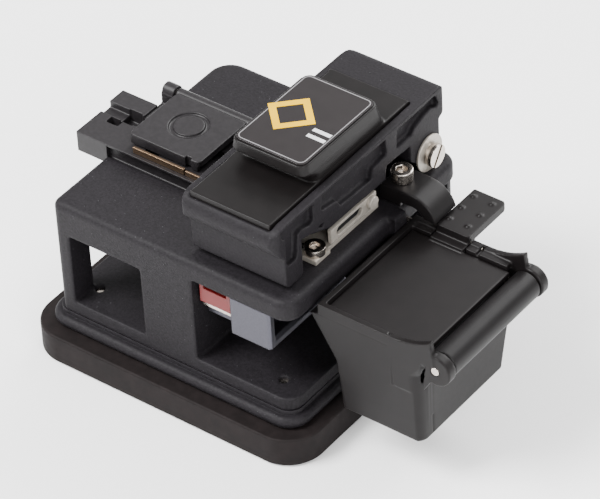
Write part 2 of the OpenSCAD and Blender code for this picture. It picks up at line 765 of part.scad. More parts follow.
module sprung_holder(x, w, len, bore) {
    difference() {
        block(x - w / 2, x + w / 2, y_fibre - len / 2, y_fibre + len / 2, z_holder, z_arm_roof);
        rod_z(bore, z_holder - 1, z_arm_roof - 0.8, x, y_fibre);
    }
}

module clamp_holders() {
    color("#8f9298") {
        sprung_holder(left_clamp_x, clamp_w, clamp_len, stem_r + run_gap);
        sprung_holder(right_clamp_x, clamp_w, clamp_len, stem_r + run_gap);
    }
}

module upper_clamp(x) {
    frame_t = 1.4;
    color("silver") {
        block(x - clamp_w / 2, x + clamp_w / 2, y_fibre - clamp_len / 2, y_fibre + clamp_len / 2,
            z_fibre + 1.7, z_fibre + 1.7 + frame_t);
        rod_z(stem_r, z_fibre + 3, z_holder + 3.4, x, y_fibre);
    }
    color("#1d1d1f") block(x - clamp_w / 2 + 0.4, x + clamp_w / 2 - 0.4, y_fibre - clamp_len / 2 + 0.6,
        y_fibre + clamp_len / 2 - 0.6, z_fibre + 0.2, z_fibre + 1.7 + eps);
}

module upper_clamp_left() {
    upper_clamp(left_clamp_x);
}

module upper_clamp_right() {
    upper_clamp(right_clamp_x);
}

module clamp_spring(x) {
    spring_z = z_fibre + 3.12;
    color("#7d7f85") translate([x, y_fibre, spring_z])
        wire_spring(1.65, 0.2, z_holder - spring_z - 0.02, 3);
}

module clamp_spring_left() {
    clamp_spring(left_clamp_x);
}

module clamp_spring_right() {
    clamp_spring(right_clamp_x);
}

module anvil_holder() {
    color("#8f9298") sprung_holder(anvil_x, anvil_w + 0.6, anvil_len + 1, 0.9 + run_gap);
}

module anvil() {
    color("#d7d8dc") {
        block(anvil_x - anvil_w / 2, anvil_x + anvil_w / 2, y_fibre - anvil_len / 2,
            y_fibre + anvil_len / 2, z_fibre + 1.1, z_fibre + 3.1);
        rod_z(0.9, z_fibre + 3, z_holder + 3.4, anvil_x, y_fibre);
    }
}

module anvil_spring() {
    spring_z = z_fibre + 3.12;
    color("#7d7f85") translate([anvil_x, y_fibre, spring_z])
        wire_spring(1.25, 0.18, z_holder - spring_z - 0.02, 3);
}

// ---------------------------------------------------------------- clamps on the deck

clamp_plate_t = 1.0;
clamp_screw_at = [[25.5, -12.8], [9.6, -13.5]];
side_plate_x = 26.9;
side_plate_t = 0.8;
side_screw_y = 2.6;
side_screw_z = z_deck + 4.0;

module lower_clamps() {
    color("#8f9298") difference() {
        union() {
            block(6.2, 14.4, -15.6, 6, z_deck, z_deck + clamp_plate_t);
            block(18.4, side_plate_x, -11, 6, z_deck, z_deck + clamp_plate_t);
            block(22.9, side_plate_x + 0.6, -15.2, -10.5, z_deck, z_deck + clamp_plate_t);
        }
        for (p = clamp_screw_at)
            rod_z(1.0, z_deck - 1, z_deck + 3, p[0], p[1]);
    }
}

module lower_pads() {
    color("#1d1d1f") for (x = [left_clamp_x, right_clamp_x])
        block(x - clamp_w / 2, x + clamp_w / 2, y_fibre - clamp_len / 2, y_fibre + clamp_len / 2,
            z_deck + clamp_plate_t, z_fibre);
}

module lower_clamp_screws() {
    color("#d8c8ac") for (p = clamp_screw_at)
        cap_screw(p[0], p[1], z_deck + clamp_plate_t, 3.4, 1.0, 2.15, 1.6);
}

module clamp_side_plate() {
    slot_r = 1.0;
    slot_z = z_deck + 3.9;
    color("#d7d8dc") difference() {
        block(side_plate_x, side_plate_x + side_plate_t, -10.3, 4.4, z_deck + 2.2, z_deck + 5.5);
        rod_x(slot_r, side_plate_x - 1, side_plate_x + 2, -7.5, slot_z);
        rod_x(slot_r, side_plate_x - 1, side_plate_x + 2, -1.2, slot_z);
        block(side_plate_x - 1, side_plate_x + 2, -7.5, -1.2, slot_z - slot_r, slot_z + slot_r);
        rod_x(0.6, side_plate_x - 1, side_plate_x + 2, side_screw_y, side_screw_z);
    }
}

module side_plate_pad() {
    color("#1d1d1f") block(side_plate_x - 1.1, side_plate_x, -9.2, 1.7,
        z_deck + clamp_plate_t, z_deck + 5.3);
}

module side_plate_screw() {
    color("silver") {
        rod_x(0.6, side_plate_x - 1.2, side_plate_x + side_plate_t + 0.1, side_screw_y, side_screw_z);
        rod_x(1.4, side_plate_x + side_plate_t, side_plate_x + side_plate_t + 0.9, side_screw_y,
            side_screw_z);
    }
}

// ---------------------------------------------------------------- collector

bracket_screw_at = [28.6, 11.8];
bracket_screw_r = 1.25;
z_bracket = z_deck + 4.0;
collector_pin_r = 0.75;
collector_pin_y = 9.3;
collector_pin_z = z_roof + 0.95;

module collector_bracket() {
    outer = 5.8;
    inner = 3.0;
    bend = 33.2;
    bend_z = z_bracket - outer;
    tip_z = z_rim + 2.0;
    outer_end = asin((tip_z - bend_z) / outer);
    inner_end = asin((tip_z - bend_z) / inner);
    color("#29292b") difference() {
        front_extrude(8.3, 15.4) polygon(concat(
            [[25.5, z_deck], [25.5, z_bracket - 0.6], [26.1, z_bracket]],
            arc(bend, bend_z, outer, 90, outer_end, 14),
            arc(bend, bend_z, inner, inner_end, 90, 10),
            [[30.4, z_bracket - 3.0], [30.4, z_deck]]));
        rod_z(bracket_screw_r, z_deck - 1, z_bracket + 1, bracket_screw_at[0], bracket_screw_at[1]);
    }
}

module bracket_screw() {
    color("silver")
        cap_screw(bracket_screw_at[0], bracket_screw_at[1], z_bracket, 7.4, bracket_screw_r, 2.25, 2.5);
}

// Steel pin that hangs the bin on the side of the deck
module collector_pin() {
    color("silver") rod_x(collector_pin_r, x_right - 2.8, rim_x0 + 0.9, collector_pin_y, collector_pin_z);
}

bin_bottom_x0 = 37.3;
bin_bottom_x1 = 56.0;
bin_knee_x = 36.2;
bin_knee_z = z_floor + 9.4;
bin_shoulder_x = 30.4;
bin_shoulder_z = z_rim - 2.8;
bend_outer = 16.5;
cheek_x1 = 59.5;

// Front view of the bin: a straight rim, a bent-up end, and a flared left wall over a narrow foot
module bin_outline() {
    polygon(concat(
        [[bin_bottom_x0, z_bin], [bin_bottom_x1, z_bin], [bin_bottom_x1 + 0.3, z_rim + 1.0]],
        arc(bend_x, z_rim + bend_outer, bend_outer, -72, -90, 6),
        [[rim_x0, z_rim], [rim_x0, bin_shoulder_z + 0.6], [bin_shoulder_x, bin_shoulder_z],
        [bin_knee_x, bin_knee_z]]));
}

module bin_cavity_outline() {
    t = bin_wall;
    polygon([[bin_bottom_x0 + t, z_bin + t], [bin_bottom_x1 - t, z_bin + t],
        [bin_bottom_x1 - t, z_rim + 12], [rim_x0 + t, z_rim + 12], [rim_x0 + t, bin_shoulder_z + 0.3],
        [bin_shoulder_x + 2.2 * t, bin_shoulder_z - 1.4], [bin_knee_x + t, bin_knee_z]]);
}

// Cheek at each end of the roller: the bent rim with a web down to height low beside the roller boss
module cheek_outline(low) {
    bend_deg = 34;
    polygon(concat(
        arc(bend_x, z_rim + bend_outer, bend_outer, -90, -90 + bend_deg, 10),
        [[cheek_x1 + 0.2, roller_z], [roller_x - 1.2, roller_z - boss_r],
        [bin_bottom_x1 - 0.2, low], [bend_x, low]]));
}

// End view of the bin, inset by t
module bin_end_profile(t, top) {
    low_back = 5.2;
    polygon([[bin_y0 + t + 0.4, z_bin - 1 + 2 * t], [low_back - t, z_bin - 1 + 2 * t],
        [bin_y1 - t, bin_shoulder_z + 0.8], [bin_y1 - t, top], [bin_y0 + t, top],
        [bin_y0 + t, bin_shoulder_z]]);
}

module collector_bin() {
    back_wall_y = bin_y1 - bin_wall;
    notch_w = 0.6;
    color("#2b2b2d") difference() {
        union() {
            difference() {
                union() {
                    intersection() {
                        front_extrude(bin_y0 - 1, bin_y1 + 1) bin_outline();
                        side_extrude(0, far) bin_end_profile(0, z_rim + 8);
                    }
                    front_extrude(bin_y0, bin_y0 + bin_wall) cheek_outline(roller_z - 8);
                    front_extrude(back_wall_y, bin_y1) cheek_outline(roller_z - 3);
                    rod_y(boss_r, bin_y0 + 0.2, bin_y0 + 2.4, roller_x, roller_z);
                    rod_y(boss_r, back_wall_y + 0.05, bin_y1 + 0.9, roller_x, roller_z);
                }
                intersection() {
                    front_extrude(bin_y0 - 1, bin_y1 + 1) bin_cavity_outline();
                    side_extrude(1, far - 1) bin_end_profile(bin_wall, z_rim + 9);
                }
                // mouth for the rollers in the right wall
                block(bin_bottom_x1 - 3, bin_bottom_x1 + 0.5, bin_y0 + bin_wall, back_wall_y,
                    nip_z - nip_r - 0.4, z_rim + 5);
            }
            // ledge along the back wall behind the lid
            block(rim_x0 + bin_wall - 0.3, ledge_x1, lid_y_back + 0.25, back_wall_y + 0.3,
                ledge_top - 1.4, ledge_top);
        }
        // recess for the lid's hinge leaf in the ledge and the back rim
        block(tab_x0 - 0.2, tab_x1 + 0.2, lid_y_back - 0.5, bin_y1 + 1, flap_pin_z - 1.5, z_rim + 1);
        // small notches in the rims
        block(48.7, 48.7 + notch_w, lid_y_back, bin_y1 - 0.5, ledge_top - 0.7, z_rim + 1);
        block(48.7, 48.7 + notch_w, bin_y0 + 0.5, bin_y0 + bin_wall + 0.3, z_rim - 0.6, z_rim + 1);
        rod_x(flap_pin_r, tab_x0 - 2.8, tab_x1 + 2.8, flap_pin_y, flap_pin_z);
        rod_y(bin_pin_r, bin_y0 - 1, bin_y1 + 3, roller_x, roller_z);
        rod_y(bin_pin_r, bin_y0 + 0.5, nip_pin_y1, nip_x, nip_z);
        rod_x(collector_pin_r, rim_x0 - 1, rim_x0 + 0.9, collector_pin_y, collector_pin_z);
    }
}

module collector_lid() {
    lid_y_front = bin_y0 + bin_wall + 0.25;
    lid_thick = 1.2;
    knuckle_r = 1.15;
    tab_t = 1.8;
    bump_r = 0.45;
    color("#262628") difference() {
        union() {
            block(rim_x0 + bin_wall + 0.15, roller_x - 2.9, lid_y_front, lid_y_back,
                lid_top - lid_thick, lid_top);
            rod_x(knuckle_r, tab_x0, tab_x1, flap_pin_y, flap_pin_z);
            block(tab_x0, tab_x1, lid_y_back - 0.5, flap_pin_y, flap_pin_z - 0.9, ledge_top);
            translate([0, 0, z_rim - 0.3]) linear_extrude(tab_t)
                corner_rect(tab_x0, tab_x1, flap_pin_y - 1.1, tab_y1, [0.3, 0.3, 0.9, 0.5]);
            block(tab_x0, tab_x1, flap_pin_y - 1.1, flap_pin_y + 1.1, flap_pin_z, z_rim);
            for (i = [0 : 2]) for (j = [0 : 1])
                rod_z(bump_r, z_rim + 1.4, z_rim + 1.85, tab_x0 + 1.3 + j * 4.4, tab_y1 - 2.1 - i * 4.1);
        }
        rod_x(flap_pin_r + run_gap, tab_x0 - 2, tab_x1 + 2, flap_pin_y, flap_pin_z);
    }
}

module collector_lid_pin() {
    color("silver") rod_x(flap_pin_r, tab_x0 - 2.8, tab_x1 + 2.8, flap_pin_y, flap_pin_z);
}

module transport_roller() {
    color("#242426") difference() {
        rod_y(roller_r, roller_y0, roller_y0 + roller_len, roller_x, roller_z);
        rod_y(bin_pin_r + run_gap, roller_y0 - 1, roller_y0 + roller_len + 1, roller_x, roller_z);
    }
}

module transport_roller_pin() {
    color("silver") rod_y(bin_pin_r, bin_y0 + 0.1, bin_y1 + 0.8, roller_x, roller_z);
}

module nip_roller() {
    color("#242426") difference() {
        rod_y(nip_r, roller_y0, nip_y1, nip_x, nip_z);
        rod_y(bin_pin_r + run_gap, bin_y0, bin_y1, nip_x, nip_z);
    }
}

module nip_roller_pin() {
    color("silver") rod_y(bin_pin_r, bin_y0 + 0.5, nip_pin_y1, nip_x, nip_z);
}

// ---------------------------------------------------------------- nodes

rubber_mat();
base_plate();
base_screws();
body_casting();
fibre_guide();
fibre_guide_screws();
fibre_stop_strip();
clamp_lid();
clamp_lid_pad();
clamp_lid_magnet();
lid_hinge_pin();
slide_rail();
slide_rail_screws();
slide_block();
slide_end_seals();
carriage();
carriage_screws();
blade_holder();
blade_axle();
blade_wheel();
blade_height_screw();
hinge_block();
hinge_block_screws();
hinge_screw();
hinge_washer();
hinge_clip();
torsion_spring();
arm();
arm_cover();
label_plate();
label_mark();
latch_plate();
clamp_holders();
upper_clamp_left();
upper_clamp_right();
clamp_spring_left();
clamp_spring_right();
anvil_holder();
anvil();
anvil_spring();
lower_clamps();
lower_pads();
lower_clamp_screws();
clamp_side_plate();
side_plate_pad();
side_plate_screw();
collector_bracket();
bracket_screw();
collector_pin();
collector_bin();
collector_lid();
collector_lid_pin();
transport_roller();
transport_roller_pin();
nip_roller();
nip_roller_pin();
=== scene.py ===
"""Looks of the fibre cleaver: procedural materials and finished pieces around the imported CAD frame."""
import json
import math

import bmesh
import bpy
from mathutils import Matrix, Vector


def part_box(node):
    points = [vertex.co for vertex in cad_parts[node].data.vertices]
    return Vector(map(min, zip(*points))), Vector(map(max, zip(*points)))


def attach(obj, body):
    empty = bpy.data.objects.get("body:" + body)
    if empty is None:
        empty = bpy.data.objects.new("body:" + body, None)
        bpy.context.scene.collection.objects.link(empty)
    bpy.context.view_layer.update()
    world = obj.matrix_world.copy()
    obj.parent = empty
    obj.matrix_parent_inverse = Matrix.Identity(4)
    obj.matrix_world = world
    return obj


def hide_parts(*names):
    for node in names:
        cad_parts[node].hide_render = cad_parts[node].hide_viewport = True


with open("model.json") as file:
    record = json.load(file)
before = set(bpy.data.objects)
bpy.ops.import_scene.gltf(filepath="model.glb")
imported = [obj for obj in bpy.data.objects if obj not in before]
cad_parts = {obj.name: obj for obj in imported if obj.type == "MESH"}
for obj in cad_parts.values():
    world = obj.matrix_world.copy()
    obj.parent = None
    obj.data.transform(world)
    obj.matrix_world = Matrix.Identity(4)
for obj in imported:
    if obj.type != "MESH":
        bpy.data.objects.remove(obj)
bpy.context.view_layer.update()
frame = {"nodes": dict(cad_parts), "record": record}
MM = 0.001

# ---------------------------------------------------------------- camera, floor and light

CAMERA_AZIMUTH = math.radians(39.0)
CAMERA_ELEVATION = math.radians(39.73)
CAMERA_ROLL = math.radians(-3.36)
CAMERA_TARGET = Vector((12.09, -0.75, 25.0)) * MM
CAMERA_DISTANCE = 811.4 * MM
LENS = 246.0
SENSOR = 36.0


def make_camera():
    """A long lens on the target, rolled by CAMERA_ROLL; back points from the target to the camera."""
    back = Vector((math.sin(CAMERA_AZIMUTH) * math.cos(CAMERA_ELEVATION),
                   -math.cos(CAMERA_AZIMUTH) * math.cos(CAMERA_ELEVATION),
                   math.sin(CAMERA_ELEVATION)))
    right = Vector((math.cos(CAMERA_AZIMUTH), math.sin(CAMERA_AZIMUTH), 0))
    up = back.cross(right)
    c, s = math.cos(CAMERA_ROLL), math.sin(CAMERA_ROLL)
    x_axis = right * c + up * s
    y_axis = up * c - right * s
    data = bpy.data.cameras.new("camera")
    data.lens = LENS
    data.sensor_width = SENSOR
    data.clip_start = 0.05
    data.clip_end = 20
    camera = bpy.data.objects.new("camera", data)
    bpy.context.scene.collection.objects.link(camera)
    place = CAMERA_TARGET + back * CAMERA_DISTANCE
    camera.matrix_world = Matrix((
        (x_axis.x, y_axis.x, back.x, place.x),
        (x_axis.y, y_axis.y, back.y, place.y),
        (x_axis.z, y_axis.z, back.z, place.z),
        (0, 0, 0, 1)))
    bpy.context.scene.camera = camera


def area_light(name, place, target, size, power):
    """A rectangular lamp of size (width, height) at place, turned towards target."""
    data = bpy.data.lights.new(name, "AREA")
    data.shape = "RECTANGLE"
    data.size, data.size_y = size
    data.energy = power
    light = bpy.data.objects.new(name, data)
    bpy.context.scene.collection.objects.link(light)
    light.location = place
    light.rotation_euler = (Vector(target) - Vector(place)).to_track_quat("-Z", "Y").to_euler()


FLOOR_SIZE = 6
FLOOR_DROP = 0.2 * MM  # the floor lies this far under the mat, so the two never share a plane
FLOOR_WHITE = 0.93
WORLD_STRENGTH = 1.25


def make_stage():
    """White floor, even white surroundings and three soft lamps."""
    bpy.ops.mesh.primitive_plane_add(size=FLOOR_SIZE, location=(0, 0, -FLOOR_DROP))
    floor = bpy.context.object
    floor.name = "floor"
    material = bpy.data.materials.new("floor_white")
    material.use_nodes = True
    shader = material.node_tree.nodes["Principled BSDF"]
    shader.inputs["Base Color"].default_value = (FLOOR_WHITE, FLOOR_WHITE, FLOOR_WHITE, 1)
    shader.inputs["Roughness"].default_value = 0.9
    floor.data.materials.append(material)
    world = bpy.data.worlds.new("studio")
    world.use_nodes = True
    background = world.node_tree.nodes["Background"]
    background.inputs["Color"].default_value = (1, 1, 1, 1)
    background.inputs["Strength"].default_value = WORLD_STRENGTH
    bpy.context.scene.world = world
    area_light("key", (-0.35, -0.45, 0.75), (0, 0, 0.03), (0.4, 0.4), 22)
    area_light("fill", (0.7, -0.35, 0.45), (0.02, 0, 0.03), (0.5, 0.5), 7)
    area_light("back", (0.1, 0.75, 0.6), (0, 0, 0.03), (0.8, 0.4), 14)


make_camera()
make_stage()

# ---------------------------------------------------------------- materials


class Shade:
    """One Principled material and its texture nodes, with the texture sizes in millimetres."""

    GRAIN_RADIUS = 0.24  # of a bright grain, as a share of its cell
    WEAR_SIZE_MM = 0.8

    def __init__(self, name, colour, roughness, metallic=0.0, specular=0.5):
        self.material = bpy.data.materials.new(name)
        self.material.use_nodes = True
        self.tree = self.material.node_tree
        self.shader = self.tree.nodes["Principled BSDF"]
        self.colour = colour
        self.roughness = roughness
        self.shader.inputs["Base Color"].default_value = (*colour, 1)
        self.shader.inputs["Roughness"].default_value = roughness
        self.shader.inputs["Metallic"].default_value = metallic
        self.shader.inputs["Specular IOR Level"].default_value = specular
        self.coords = self.node("ShaderNodeTexCoord")

    def node(self, kind, **settings):
        made = self.tree.nodes.new(kind)
        for key, value in settings.items():
            setattr(made, key, value)
        return made

    def link(self, source, target):
        self.tree.links.new(source, target)

    def noise(self, size_mm, detail=3.0, stretch=(1, 1, 1)):
        """Socket of a noise whose lumps are size_mm across before stretch."""
        mapping = self.node("ShaderNodeMapping")
        mapping.inputs["Scale"].default_value = stretch
        self.link(self.coords.outputs["Object"], mapping.inputs["Vector"])
        noise = self.node("ShaderNodeTexNoise")
        noise.inputs["Scale"].default_value = 1 / (size_mm * MM)
        noise.inputs["Detail"].default_value = detail
        self.link(mapping.outputs["Vector"], noise.inputs["Vector"])
        return noise.outputs["Fac"]

    def ramp(self, source, low, high, low_at=0.35, high_at=0.65):
        """Colour socket that goes from low to high as source goes from low_at to high_at."""
        ramp = self.node("ShaderNodeValToRGB")
        ramp.color_ramp.elements[0].position = low_at
        ramp.color_ramp.elements[1].position = high_at
        ramp.color_ramp.elements[0].color = (*low, 1)
        ramp.color_ramp.elements[1].color = (*high, 1)
        self.link(source, ramp.inputs["Fac"])
        return ramp.outputs["Color"]

    def vary_colour(self, size_mm, amount, detail=3.0, stretch=(1, 1, 1)):
        """The base colour drifts by amount, a share, either way; returns its socket."""
        low = [c * (1 - amount) for c in self.colour]
        high = [c * (1 + amount) for c in self.colour]
        shade = self.ramp(self.noise(size_mm, detail, stretch), low, high)
        self.link(shade, self.shader.inputs["Base Color"])
        return shade

    def vary_roughness(self, size_mm, amount, detail=2.0, stretch=(1, 1, 1)):
        """The roughness drifts by amount either way."""
        spread = self.node("ShaderNodeMapRange")
        spread.inputs["To Min"].default_value = self.roughness - amount
        spread.inputs["To Max"].default_value = self.roughness + amount
        self.link(self.noise(size_mm, detail, stretch), spread.inputs["Value"])
        self.link(spread.outputs["Result"], self.shader.inputs["Roughness"])

    def bump(self, layers):
        """Surface relief from layers, (source socket, height in mm) pairs laid one on the other."""
        previous = None
        for source, height in layers:
            relief = self.node("ShaderNodeBump")
            relief.inputs["Strength"].default_value = 1.0
            relief.inputs["Distance"].default_value = height * MM
            self.link(source, relief.inputs["Height"])
            if previous:
                self.link(previous, relief.inputs["Normal"])
            previous = relief.outputs["Normal"]
        self.link(previous, self.shader.inputs["Normal"])

    def specks(self, shade, size_mm, share, colour):
        """Sparse bright grains over the colour socket shade."""
        cells = self.node("ShaderNodeTexVoronoi")
        cells.inputs["Scale"].default_value = 1 / (size_mm * MM)
        self.link(self.coords.outputs["Object"], cells.inputs["Vector"])
        near = self.node("ShaderNodeMath", operation="LESS_THAN")
        near.inputs[1].default_value = self.GRAIN_RADIUS
        self.link(cells.outputs["Distance"], near.inputs[0])
        split = self.node("ShaderNodeSeparateColor")
        self.link(cells.outputs["Color"], split.inputs["Color"])
        chosen = self.node("ShaderNodeMath", operation="LESS_THAN")
        chosen.inputs[1].default_value = share
        self.link(split.outputs["Red"], chosen.inputs[0])
        both = self.node("ShaderNodeMath", operation="MULTIPLY")
        self.link(near.outputs[0], both.inputs[0])
        self.link(chosen.outputs[0], both.inputs[1])
        mix = self.node("ShaderNodeMix", data_type="RGBA")
        self.link(both.outputs[0], mix.inputs["Factor"])
        self.link(shade, mix.inputs["A"])
        mix.inputs["B"].default_value = (*colour, 1)
        self.link(mix.outputs["Result"], self.shader.inputs["Base Color"])

    def worn_edges(self, shade, colour, start=0.53, end=0.62, share=0.5):
        """Lighter colour where the surface turns over an edge, broken up by noise."""
        geometry = self.node("ShaderNodeNewGeometry")
        edge = self.node("ShaderNodeMapRange")
        edge.inputs["From Min"].default_value = start
        edge.inputs["From Max"].default_value = end
        edge.inputs["To Max"].default_value = share
        self.link(geometry.outputs["Pointiness"], edge.inputs["Value"])
        broken = self.node("ShaderNodeMath", operation="MULTIPLY")
        self.link(edge.outputs["Result"], broken.inputs[0])
        self.link(self.noise(self.WEAR_SIZE_MM), broken.inputs[1])
        mix = self.node("ShaderNodeMix", data_type="RGBA")
        self.link(broken.outputs[0], mix.inputs["Factor"])
        self.link(shade, mix.inputs["A"])
        mix.inputs["B"].default_value = (*colour, 1)
        self.link(mix.outputs["Result"], self.shader.inputs["Base Color"])
        return mix.outputs["Result"]


def powder_coat():
    """Textured black coat with a few bright grains, a little lighter on its edges."""
    shade = Shade("powder_coat", (0.0075, 0.0064, 0.0078), 0.6, specular=0.14)
    colour = shade.vary_colour(0.45, 0.3, detail=4)
    colour = shade.worn_edges(colour, (0.02, 0.018, 0.021))
    shade.specks(colour, 0.3, 0.010, (0.07, 0.07, 0.075))
    shade.vary_roughness(0.5, 0.08)
    shade.bump([(shade.noise(0.5, 4), 0.06), (shade.noise(0.16, 2), 0.02)])
    return shade.material


def mat_rubber():
    shade = Shade("mat_rubber", (0.0066, 0.0046, 0.0046), 0.68, specular=0.12)
    colour = shade.vary_colour(2.0, 0.2)
    shade.worn_edges(colour, (0.02, 0.017, 0.016))
    shade.vary_roughness(1.5, 0.07)
    shade.bump([(shade.noise(0.3, 3), 0.02)])
    return shade.material


def anodised_black():
    shade = Shade("anodised_black", (0.0105, 0.0092, 0.0102), 0.44, specular=0.22)
    colour = shade.vary_colour(0.8, 0.2)
    shade.worn_edges(colour, (0.05, 0.047, 0.05))
    shade.vary_roughness(0.6, 0.06)
    shade.bump([(shade.noise(0.12, 2), 0.006)])
    return shade.material


def satin_plastic(name, colour, roughness, specular=0.15):
    shade = Shade(name, colour, roughness, specular=specular)
    tone = shade.vary_colour(3.0, 0.1)
    shade.worn_edges(tone, [min(1, 3 * c) for c in colour], share=0.5)
    shade.vary_roughness(1.2, 0.04)
    shade.bump([(shade.noise(0.1, 2), 0.003)])
    return shade.material


def soft_rubber(name, colour):
    shade = Shade(name, colour, 0.8, specular=0.15)
    shade.vary_colour(0.7, 0.2)
    shade.vary_roughness(0.7, 0.05)
    shade.bump([(shade.noise(0.2, 3), 0.01)])
    return shade.material


def machined_metal(name, colour, roughness, metallic=1.0):
    shade = Shade(name, colour, roughness, metallic=metallic)
    shade.vary_colour(0.9, 0.08)
    shade.vary_roughness(0.6, 0.05)
    shade.bump([(shade.noise(0.5, 2), 0.002)])
    return shade.material


def blasted_aluminium():
    """Fine matt metal."""
    shade = Shade("blasted_aluminium", (0.075, 0.074, 0.088), 0.38, metallic=1.0)
    shade.vary_colour(0.5, 0.06)
    shade.vary_roughness(0.3, 0.05)
    shade.bump([(shade.noise(0.08, 2), 0.003)])
    return shade.material


def bronze_strip():
    """Rolled metal with its grain along x."""
    shade = Shade("bronze_strip", (0.115, 0.076, 0.048), 0.34, metallic=0.9)
    shade.vary_colour(0.6, 0.12, stretch=(0.2, 1, 1))
    shade.vary_roughness(0.4, 0.06, stretch=(0.2, 1, 1))
    shade.bump([(shade.noise(0.15, 2, (0.1, 1, 1)), 0.002)])
    return shade.material


def gloss_print(name, colour, roughness=0.22, specular=0.4):
    shade = Shade(name, colour, roughness, specular=specular)
    shade.vary_colour(4.0, 0.05)
    shade.vary_roughness(2.0, 0.03)
    shade.bump([(shade.noise(0.5, 2), 0.001)])
    return shade.material


MATERIALS = {
    "cast_black": powder_coat(),
    "mat_rubber": mat_rubber(),
    "anodised_black": anodised_black(),
    "steel": machined_metal("machined_steel", (0.56, 0.51, 0.46), 0.24),
    "dark_screw": machined_metal("black_screw", (0.03, 0.03, 0.032), 0.35),
    "aluminium": blasted_aluminium(),
    "strip_bronze": bronze_strip(),
    "pad_rubber": soft_rubber("pad_rubber", (0.004, 0.004, 0.0045)),
    "seal_red": gloss_print("seal_red", (0.10, 0.001, 0.001), 0.35),
    "blade_carbide": machined_metal("blade_carbide", (0.45, 0.47, 0.5), 0.12),
    "cover_plastic": satin_plastic("cover_plastic", (0.0052, 0.0044, 0.0044), 0.36),
    "label_gloss": gloss_print("label_gloss", (0.0105, 0.0085, 0.0088), 0.3, 0.25),
    "mark_yellow": gloss_print("mark_yellow", (0.62, 0.37, 0.0), 0.5, 0.05),
    "collector_plastic": satin_plastic("collector_plastic", (0.0052, 0.0043, 0.0044), 0.42),
    "roller_rubber": satin_plastic("roller_rubber", (0.0050, 0.0044, 0.0046), 0.42),
}
# Finishes that belong to single nodes instead of to their slot
NICKEL = machined_metal("nickel_plate", (0.36, 0.33, 0.29), 0.36, metallic=0.5)
BRACKET_BLACK = satin_plastic("bracket_black", (0.0052, 0.0044, 0.0046), 0.42)
FINISH_OF = {"clamp_side_plate": NICKEL, "side_plate_screw": NICKEL, "lower_clamps": NICKEL,
             "hinge_washer": NICKEL, "collector_bracket": BRACKET_BLACK}
WHITE_INK = gloss_print("white_ink", (0.55, 0.55, 0.56), 0.4)
# Light grey of the label rim: a painted highlight, standing in for the light caught by its clear edge
RIM_HIGHLIGHT_GREY = gloss_print("rim_painted_highlight", (0.16, 0.155, 0.16), 0.25)

# ---------------------------------------------------------------- finished pieces from the frame

BODY_OF = {}
for body_name, members in frame["record"]["behaviour"]["bodies"].items():
    for member in members:
        BODY_OF[member] = body_name
SLOT_OF = {row["node"]: row["material_slot"] for row in frame["record"]["subparts"]}


def place(piece, body, slot, *nodes):
    """Ride the body and stand for the CAD nodes; slot is not used."""
    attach(piece, body)
    if nodes:
        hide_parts(*nodes)
    return piece


def add_object(name, mesh, material):
    piece = bpy.data.objects.new(name, mesh)
    bpy.context.scene.collection.objects.link(piece)
    mesh.materials.clear()
    mesh.materials.append(material)
    return piece


def soften(piece, width_mm, segments=3, limit_deg=32):
    """Rounded edges and clean shading."""
    for polygon in piece.data.polygons:
        polygon.use_smooth = True
    bevel = piece.modifiers.new("edges", "BEVEL")
    bevel.width = width_mm * MM
    bevel.segments = segments
    bevel.limit_method = "ANGLE"
    bevel.angle_limit = math.radians(limit_deg)
    bevel.miter_outer = "MITER_ARC"
    bevel.use_clamp_overlap = True
    normals = piece.modifiers.new("normals", "WEIGHTED_NORMAL")
    normals.keep_sharp = True
    return piece


WELD = 0.002 * MM
FLAT = math.radians(0.6)


def clean_copy(node):
    """A copy of a CAD node's mesh with its seams welded and its flats merged."""
    mesh = frame["nodes"][node].data.copy()
    bm = bmesh.new()
    bm.from_mesh(mesh)
    bmesh.ops.remove_doubles(bm, verts=bm.verts, dist=WELD)
    bmesh.ops.dissolve_limit(bm, angle_limit=FLAT, verts=bm.verts, edges=bm.edges)
    bm.to_mesh(mesh)
    bm.free()
    for name in ("custom_normal", "sharp_edge", "sharp_face"):
        attribute = mesh.attributes.get(name)
        if attribute:
            mesh.attributes.remove(attribute)
    mesh.name = node + "_piece"
    return add_object(node + "_piece", mesh, FINISH_OF.get(node, MATERIALS[SLOT_OF[node]]))


def finished_copy(node, bevel_mm):
    """A copy with real rounded edges, in place of the node."""
    piece = soften(clean_copy(node), bevel_mm)
    return place(piece, BODY_OF[node], SLOT_OF[node], node)


def soft_copy(node, voxel_mm, rounds, cutter=None):
    """A copy remeshed and relaxed until its edges are softly rounded, as on a casting or a moulding."""
    piece = clean_copy(node)
    if cutter:
        cut = piece.modifiers.new("cut", "BOOLEAN")
        cut.operation = "DIFFERENCE"
        cut.solver = "EXACT"
        cut.object = cutter
    remesh = piece.modifiers.new("remesh", "REMESH")
    remesh.mode = "VOXEL"
    remesh.voxel_size = voxel_mm * MM
    relax = piece.modifiers.new("relax", "SMOOTH")
    relax.factor = 0.5
    relax.iterations = rounds
    bpy.context.view_layer.update()
    evaluated = piece.evaluated_get(bpy.context.evaluated_depsgraph_get())
    final = bpy.data.meshes.new_from_object(evaluated)
    piece.modifiers.clear()
    piece.data = final
    final.name = node + "_piece"
    for polygon in final.polygons:
        polygon.use_smooth = True
    if cutter:
        bpy.data.objects.remove(cutter)
    return place(piece, BODY_OF[node], SLOT_OF[node], node)


def add_box(bm, x, y, z):
    """A box in bm; x, y and z are (low, high) pairs in metres."""
    made = bmesh.ops.create_cube(bm, size=1)
    for vertex in made["verts"]:
        vertex.co = Vector([low + (high - low) * (co + 0.5)
                            for co, (low, high) in zip(vertex.co, (x, y, z))])


